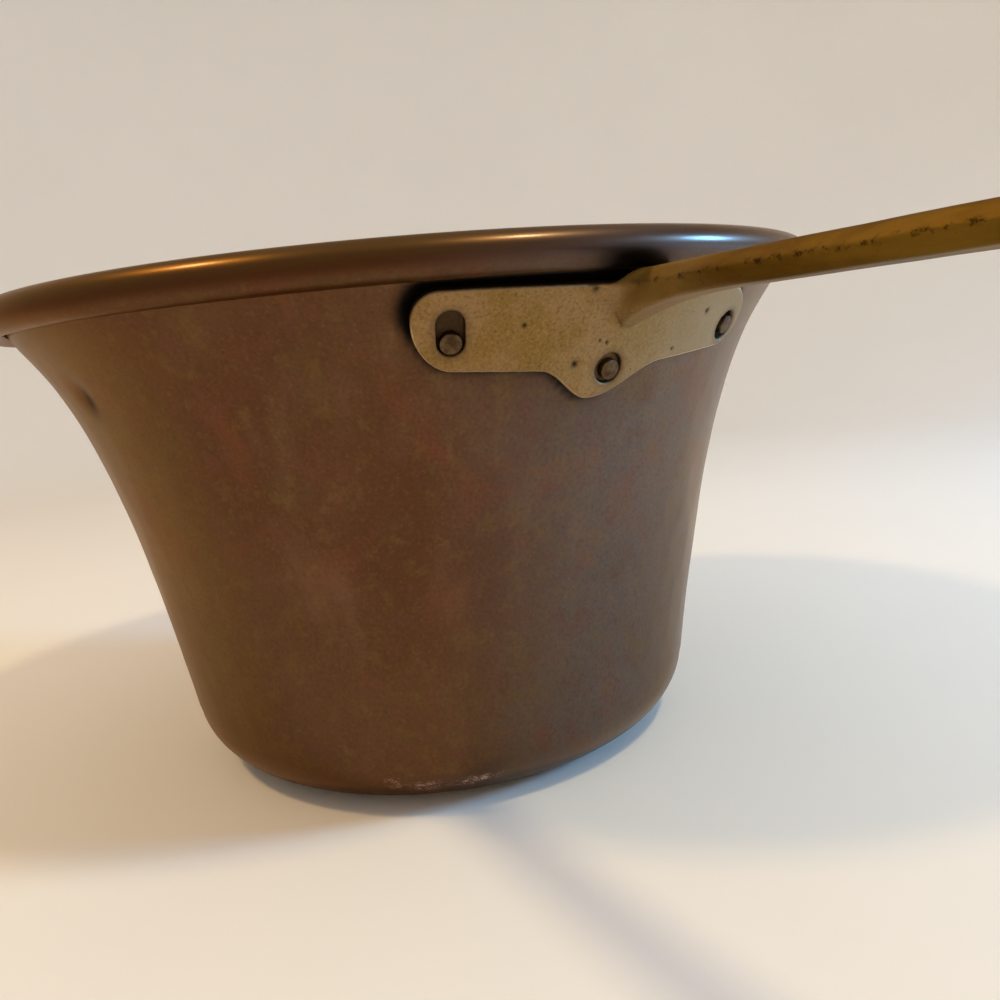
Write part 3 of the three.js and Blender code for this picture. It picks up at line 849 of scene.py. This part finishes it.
# %% Build the rivets


def rivet_profile(z):
    """Radius and height from the dome's tip inside the pot to the middle of the outer end."""
    seat = -sheet - seat_gap - head_radius ** 2 / (2 * float(wall_radius(z)))
    foot = land + seat_gap
    turn = np.linspace(0, pi / 2, 15)[1:]
    dome = np.column_stack([head_radius * np.sin(turn), seat - head_height * np.cos(turn)])
    shank = np.array([(shank_radius, seat), (shank_radius, foot), (end_radius, foot)])
    turn = turn - turn[0]
    spread = np.column_stack([end_radius * np.cos(turn), plate_proud - end_dome * (1 - np.sin(turn))])
    return np.concatenate([dome, shank, spread[:-1]]), seat - head_height, plate_proud


nick_depth = 0.035
rivets = []
for name, (along, z, *_) in sites.items():
    line, low, high = rivet_profile(z)
    dent = 1 - nick_depth * (1 + waves(circle[None, :], line[:, 1:] * 6, count=12)) / 2
    local = at_angle(line[:, :1] * dent, circle, line[:, 1:])
    ends = in_place(np.array([(0, 0, low), (0, 0, high)]), along, z)
    piece = turned(name + "_metal", in_place(local, along, z), *ends)
    piece.data.set_sharp_from_angle(angle=radians(35))
    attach(piece, "root")
    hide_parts(name)
    rivets.append(piece)
    report(piece)

# %% [markdown]
# ## Shader maths as Python
#
# A node tree is a formula drawn as boxes. It reads better as a formula, so one small class wraps
# an output socket and gives it the operators of a number: each sum or product adds its Math node.
# All other nodes come from one method, which takes a node's type, its settings and its inputs.

# %% A socket that can be added and multiplied


class Signal:
    """An output socket that takes part in Python sums."""

    def __init__(self, finish, socket):
        self.finish, self.socket = finish, socket

    def math(self, operation, *values):
        inputs = dict(enumerate(values))
        return self.finish.node("ShaderNodeMath", {"operation": operation}, inputs)

    def __add__(self, other):
        return self.math("ADD", self, other)

    def __sub__(self, other):
        return self.math("SUBTRACT", self, other)

    def __mul__(self, other):
        return self.math("MULTIPLY", self, other)

    def __rsub__(self, other):
        return self.math("SUBTRACT", other, self)

    __radd__, __rmul__ = __add__, __mul__

    def step(self, low, high):
        """Smooth step from 0 at low to 1 at high."""
        inputs = {"Value": self, "From Min": low, "From Max": high}
        return self.finish.node("ShaderNodeMapRange", {"interpolation_type": "SMOOTHSTEP"}, inputs)


class Finish:
    """A material or the world: its shader, and one method that adds any other node."""

    def __init__(self, material, shader="Principled BSDF", **constants):
        material.use_nodes = True
        self.material, self.tree = material, material.node_tree
        self.shader = self.tree.nodes[shader]
        self.shade(**constants)

    def feed(self, socket, value):
        if isinstance(value, Signal):
            self.tree.links.new(value.socket, socket)
        else:
            socket.default_value = value

    def node(self, kind, settings=None, inputs=None, output=0):
        made = self.tree.nodes.new(kind)
        for name, value in (settings or {}).items():
            setattr(made, name, value)
        for socket, value in (inputs or {}).items():
            self.feed(made.inputs[socket], value)
        return Signal(self, made.outputs[output])

    def place(self):
        return self.node("ShaderNodeTexCoord", output="Object")

    def painted(self, masks):
        """One signal for each mask, in the order in which the dictionary names them."""
        return [self.node("ShaderNodeAttribute", {"attribute_name": name}, output="Fac") for name in masks]

    def noise(self, scale, detail=4, roughness=0.55, distortion=0.0, at=None):
        inputs = {"Vector": at or self.place(), "Scale": scale, "Detail": detail,
                  "Roughness": roughness, "Distortion": distortion}
        return self.node("ShaderNodeTexNoise", inputs=inputs)

    def stretched(self, x, y, z):
        """Object coordinates with each axis scaled, for grain that runs one way."""
        return self.node("ShaderNodeMapping", inputs={"Vector": self.place(), "Scale": (x, y, z)})

    def mix(self, factor, first, second):
        """Colour between first (0) and second (1)."""
        return self.node("ShaderNodeMix", {"data_type": "RGBA"}, {0: factor, 6: first, 7: second}, output=2)

    def layered(self, colour, *layers):
        """A colour with others laid over it, each given as its share and a screen colour."""
        for share, over in layers:
            colour = self.mix(share, colour, srgb(*over))
        return colour

    def bump(self, height, distance, strength=1.0):
        inputs = {"Height": height, "Distance": distance, "Strength": strength}
        return self.node("ShaderNodeBump", inputs=inputs)

    def shade(self, **inputs):
        for socket, value in inputs.items():
            self.feed(self.shader.inputs[socket.replace("_", " ")], value)
        return self.material


def srgb(red, green, blue):
    """A screen colour of 0 to 255 as linear light, by the sRGB curve."""
    share = np.array([red, green, blue]) / 255
    linear = np.where(share <= 0.04045, share / 12.92, ((share + 0.055) / 1.055) ** 2.4)
    return (*linear.tolist(), 1.0)


print("mid brown in linear light:", [round(v, 3) for v in srgb(125, 85, 58)[:3]])

# %% [markdown]
# ## Patinated copper
#
# Old copper that is wiped but never polished turns a satin brown: a thin even oxide with reddish
# and olive clouds in it, finely speckled, and pink where it was knocked bare. The clouds are three
# sizes of noise, the speckle a fine one. The oxide keeps its brown even where the wall is seen
# almost edge on, which is the shader's specular tint, and a thin clear coat stands for the wax and
# grease on it. Knocked places scatter light like chalk marks, so they are less metallic. The inside
# is lighter and scratched by spoons and scouring.

# %% The copper finish


def copper_finish():
    look = Finish(bpy.data.materials.new("patinated_copper"), Metallic=1.0,
                  Specular_Tint=(0.85, 0.62, 0.42, 1), Coat_Roughness=0.18)
    clouds = look.noise(14, distortion=0.3)
    blotches = look.noise(34, detail=5, roughness=0.6, distortion=0.5)
    streaks = look.noise(60, roughness=0.6, at=look.stretched(1, 1, 0.22))
    mottle = look.noise(150, roughness=0.65)
    speckle = look.noise(950, detail=3, roughness=0.7)
    scratched = look.noise(620, roughness=0.7, distortion=1.2)
    scour = look.noise(300, detail=3, at=look.stretched(1, 1, 0.05))
    bead, inside, grime_and_shade, scuffs, smudges, window_sheen, warm_sheen, crown_highlight = look.painted(sheet_masks)
    brown = look.layered(
        look.mix(clouds.step(0.36, 0.66), srgb(86, 52, 24), srgb(94, 64, 34)),
        # Painted sheen: grey on the window's side, a lighter olive on the warm lamp's side.
        (window_sheen * (0.55 + 0.45 * blotches.step(0.3, 0.6)), (92, 82, 76)),
        (warm_sheen * 0.7, (104, 84, 46)),
        (blotches.step(0.52, 0.74) * 0.5, (114, 62, 34)),
        (blotches.step(0.46, 0.3) * 0.45, (92, 74, 40)),
        (mottle.step(0.5, 0.64) * 0.35, (96, 58, 44)),
        (mottle.step(0.48, 0.36) * 0.3, (106, 82, 42)),
        (streaks.step(0.5, 0.72) * 0.14, (132, 104, 78)),
        (speckle.step(0.5, 0.36) * 0.25, (52, 32, 18)),
        (speckle.step(0.56, 0.7) * 0.12, (156, 120, 86)),
        (smudges * blotches.step(0.35, 0.65) * 0.35, (136, 98, 74)))
    # The bead: top painted golden, a painted highlight, over a dark painted reflection; grey on the
    # window's side.
    rolled = look.mix(crown_highlight, srgb(64, 32, 8), srgb(92, 64, 22))
    rolled = look.layered(rolled, (window_sheen * 0.9, (76, 64, 62)))
    bare = look.mix(scour.step(0.3, 0.7), srgb(176, 120, 90), srgb(190, 133, 101))
    marks = scuffs * scratched.step(0.48, 0.59)
    colour = look.layered(
        look.mix(inside, look.mix(bead, brown, rolled), bare),
        (scuffs * 0.3, (138, 90, 74)),
        (marks, (246, 200, 178)),
        # Near black: dirt and painted shade round the plate, dark painted reflections over the root and in
        # the dent.
        (grime_and_shade.step(0, 0.9), (14, 9, 6)))
    rough = 0.36 + 0.1 * clouds + 0.08 * speckle - 0.1 * bead + 0.3 * grime_and_shade
    relief = 0.35 * speckle + 1.2 * blotches
    coat = (0.28 + 0.2 * window_sheen + bead * (0.1 * crown_highlight - 0.12 + 0.04 * window_sheen)) * (1 - grime_and_shade)
    return look.shade(Base_Color=colour, Roughness=rough, Coat_Weight=coat,
                      Metallic=1 - 0.85 * marks, Normal=look.bump(relief, 0.05 * mm, 0.6))


pot_sheet.data.materials.append(copper_finish())

# %% [markdown]
# ## Cast brass
#
# The casting was never machined. Its plate is dull and finely speckled with small dark pits,
# because the sand left it rough and nobody rubs it, and its right arm is painted paler, a painted
# reflection of the daylight. The bar is rubbed by every hand, so it is golden, with dirt along the
# ridge; near the plate its underside keeps the plate's colour, a painted reflection of the floor.
# Worn edges carry a bright painted highlight, and the recesses a near-black painted shade with some
# dirt. The bar's root is half bare metal and half plain oxide, so it mirrors less of the dark bead
# over it.

# %% The brass finish


def brass_finish():
    look = Finish(bpy.data.materials.new("cast_brass"), Metallic=1.0)
    clouds = look.noise(60, detail=5, roughness=0.6)
    speckle = look.noise(1300, detail=2, roughness=0.6)
    pores = look.noise(560, detail=2, roughness=0.5).step(0.7, 0.78)
    along = look.noise(120, detail=5, roughness=0.65, distortion=0.5, at=look.stretched(0.35, 1, 1))
    broken = look.noise(420, detail=5, roughness=0.65)
    bar, dull, pale, seam, dirt_and_shade, stain, edge = look.painted(casting_masks)
    plate = look.layered(
        look.mix(clouds.step(0.38, 0.62), srgb(140, 110, 60), srgb(152, 122, 82)),
        (speckle.step(0.5, 0.3) * 0.45, (96, 66, 34)),
        (speckle.step(0.52, 0.7) * 0.3, (180, 152, 106)),
        # The right arm painted paler: a painted reflection of the daylight.
        (pale * 0.6, (164, 146, 118)))
    rubbed = look.mix(along.step(0.3, 0.68), srgb(96, 68, 18), srgb(122, 92, 30))
    worn = seam * broken.step(0.5, 0.6)
    # The bar's underside near the plate keeps the plate's colour: a painted reflection of the floor.
    colour = look.layered(
        look.mix(bar, plate, rubbed),
        (0.6 * pores, (48, 34, 18)),
        (0.4 * stain, (98, 76, 62)),
        # Worn edges with a bright painted highlight.
        (0.9 * edge, (236, 216, 180)),
        (0.8 * worn, (44, 24, 10)),
        # Near black: painted shade in the recesses, with dirt and the dark pits.
        (0.95 * dirt_and_shade, (28, 21, 14)))
    rough = 0.55 + 0.1 * speckle + 0.15 * worn + 0.2 * dirt_and_shade - 0.12 * edge
    relief = 0.2 * speckle + 0.5 * clouds - 1.2 * pores - 1.5 * worn
    return look.shade(Base_Color=colour, Roughness=rough, Metallic=1 - 0.55 * dull,
                      Normal=look.bump(relief, 0.1 * mm, 0.7))


casting.data.materials.append(brass_finish())

# %% [markdown]
# ## Rivets and wire
#
# The rivets are browner than the plate and darker, hammered and never polished. The wire is plain
# iron, hidden in the bead. A flat colour would do from afar, but close by an oxide is cloudy, so
# noise mixes two tones. The two metals differ only in tone and gloss: one function makes both.

# %% The rivet and the wire finish


def dark_metal(name, light, dark, rough):
    """Brown metal with a cloudy oxide: light and dark mixed by noise, with a fine grain."""
    look = Finish(bpy.data.materials.new(name), Metallic=1.0)
    clouds = look.noise(380, detail=5, roughness=0.7)
    fine = look.noise(1800, detail=3)
    colour = look.mix(clouds.step(0.35, 0.65), dark, light)
    relief = clouds + 0.5 * fine
    return look.shade(Base_Color=colour, Roughness=rough + 0.15 * fine, Normal=look.bump(relief, 0.1 * mm))


rivet_metal = dark_metal("rivet_brown", srgb(108, 86, 60), srgb(70, 52, 36), 0.42)
iron = dark_metal("wire_iron", srgb(92, 84, 76), srgb(58, 46, 38), 0.5)
for piece in rivets:
    piece.data.materials.append(rivet_metal)
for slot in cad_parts["rim_wire"].material_slots:
    slot.material = iron

# %% [markdown]
# ## The camera
#
# The picture was taken from close by, a little below the handle and slightly tilted. The camera's
# place, its three angles and its focal length came from fitting the pot's own outline. They are
# written in a frame that looks straight along +Y, which is then turned to face the handle's side.

# %% Set up the camera
camera_distance, camera_height = 331.1 * mm, 135.2 * mm
yaw, pitch, roll = 0.084, -0.168, -0.093
focal_pixels, picture_pixels = 872.6, 1000
handle_turn = radians(25.6)
right_turn = pi / 2 - handle_turn


def to_row(x, y, z):
    """Turns a place given as right, away and up for the camera into the row's frame."""
    return Vector((x * cos(right_turn) - y * sin(right_turn), x * sin(right_turn) + y * cos(right_turn), z))


forward = to_row(sin(yaw) * cos(pitch), cos(yaw) * cos(pitch), sin(pitch))
level = to_row(cos(yaw), -sin(yaw), 0)
upright = level.cross(forward)
across = cos(roll) * level + sin(roll) * upright
upward = cos(roll) * upright - sin(roll) * level
lens = bpy.data.cameras.new("picture")
lens.sensor_width = 36
lens.lens = focal_pixels / picture_pixels * lens.sensor_width
lens.clip_start = 10 * mm
camera = new_object("picture", lens)
camera.matrix_world = Matrix.Translation(to_row(0, -camera_distance, camera_height)) @ Matrix(
    (across, upward, -forward)).transposed().to_4x4()
bpy.context.scene.camera = camera
print("camera at", [round(v, 3) for v in camera.location], "lens", round(lens.lens, 2), "mm")

# %% [markdown]
# ## Floor and backdrop
#
# The pot stands on pale paper that sweeps up behind it, so there is no horizon. Here the sweep
# goes all the way round, as a wide bowl with a flat middle: it looks the same from any side. Its
# profile is flat, then a quarter circle, then upright.

# %% Build the sweep
flat_radius, sweep_radius, wall_height = 0.9, 0.7, 0.8
sweep_columns = 96


def sweep():
    flat, turn = np.linspace(0.02, flat_radius, 12)[:-1], np.linspace(0, pi / 2, 24)
    outer = flat_radius + sweep_radius
    r = np.concatenate([flat, flat_radius + sweep_radius * np.sin(turn), [outer]])
    z = np.concatenate([0 * flat, sweep_radius * (1 - np.cos(turn)), [sweep_radius + wall_height]])
    around = np.linspace(0, 2 * pi, sweep_columns, endpoint=False)
    rings = at_angle(r[:, None], around, z[:, None])
    faces = ring_quads(len(r), sweep_columns)[:, ::-1].tolist() + [list(range(sweep_columns))]
    return new_piece("paper_sweep", rings.reshape(-1, 3), faces)


def paper_finish():
    look = Finish(bpy.data.materials.new("pale_paper"), Roughness=0.85, Specular_IOR_Level=0.2)
    tone = look.noise(3, detail=3)
    return look.shade(Base_Color=look.mix(tone, srgb(234, 228, 218), srgb(242, 236, 226)))


paper = sweep()
paper.data.materials.append(paper_finish())
paper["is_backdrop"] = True

# %% [markdown]
# ## Light
#
# Three soft discs light the pot, and each can be found as a glint on the bead: a warm lamp above on
# the left, a pale ceiling, and daylight low on the right. The warm lamp fills the daylight's long
# shadow and the daylight fills the lamp's short one. The world adds a pale light, strongest overhead.

# %% Lights
lamps = {
    "warm_lamp": ((-0.75, -0.19, 1.2), 0.15, 5.8, (1.0, 0.66, 0.3)),
    "ceiling": ((0.5, -0.46, 1.27), 0.14, 5.8, (1.0, 0.84, 0.5)),
    "daylight": ((1.2, -0.2, 0.5), 0.28, 12.5, (0.2, 0.54, 1.0)),
}
aim = Vector((0, 0, 0.08))
for name, (place, size, power, colour) in lamps.items():
    lamp = bpy.data.lights.new(name, "AREA")
    lamp.shape, lamp.size, lamp.energy, lamp.color = "DISK", size, power, colour
    panel = new_object(name, lamp)
    spot = to_row(*place)
    facing = (spot - aim).to_track_quat("Z", "Y").to_matrix().to_4x4()
    panel.matrix_world = Matrix.Translation(spot) @ facing

room = Finish(bpy.data.worlds.new("room"), "Background")
direction = room.node("ShaderNodeTexCoord", output="Generated")
rise = room.node("ShaderNodeSeparateXYZ", inputs={0: direction}, output="Z")
room.shade(Color=srgb(228, 220, 218), Strength=0.36 + 0.4 * rise.step(0.35, 0.95))
bpy.context.scene.world = room.material
bpy.context.scene.view_settings.view_transform = "Standard"
print(len(lamps), "lamps and a pale room")

# %% [markdown]
# ## The visual box
#
# The dressed pot has to fill the same box as the CAD model. The box of everything shown but the
# backdrop is printed, in millimetres.

# %% Print the visual box
low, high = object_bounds()
print("visual box in mm:", [round(1000 * v, 1) for v in (*low, *high)])
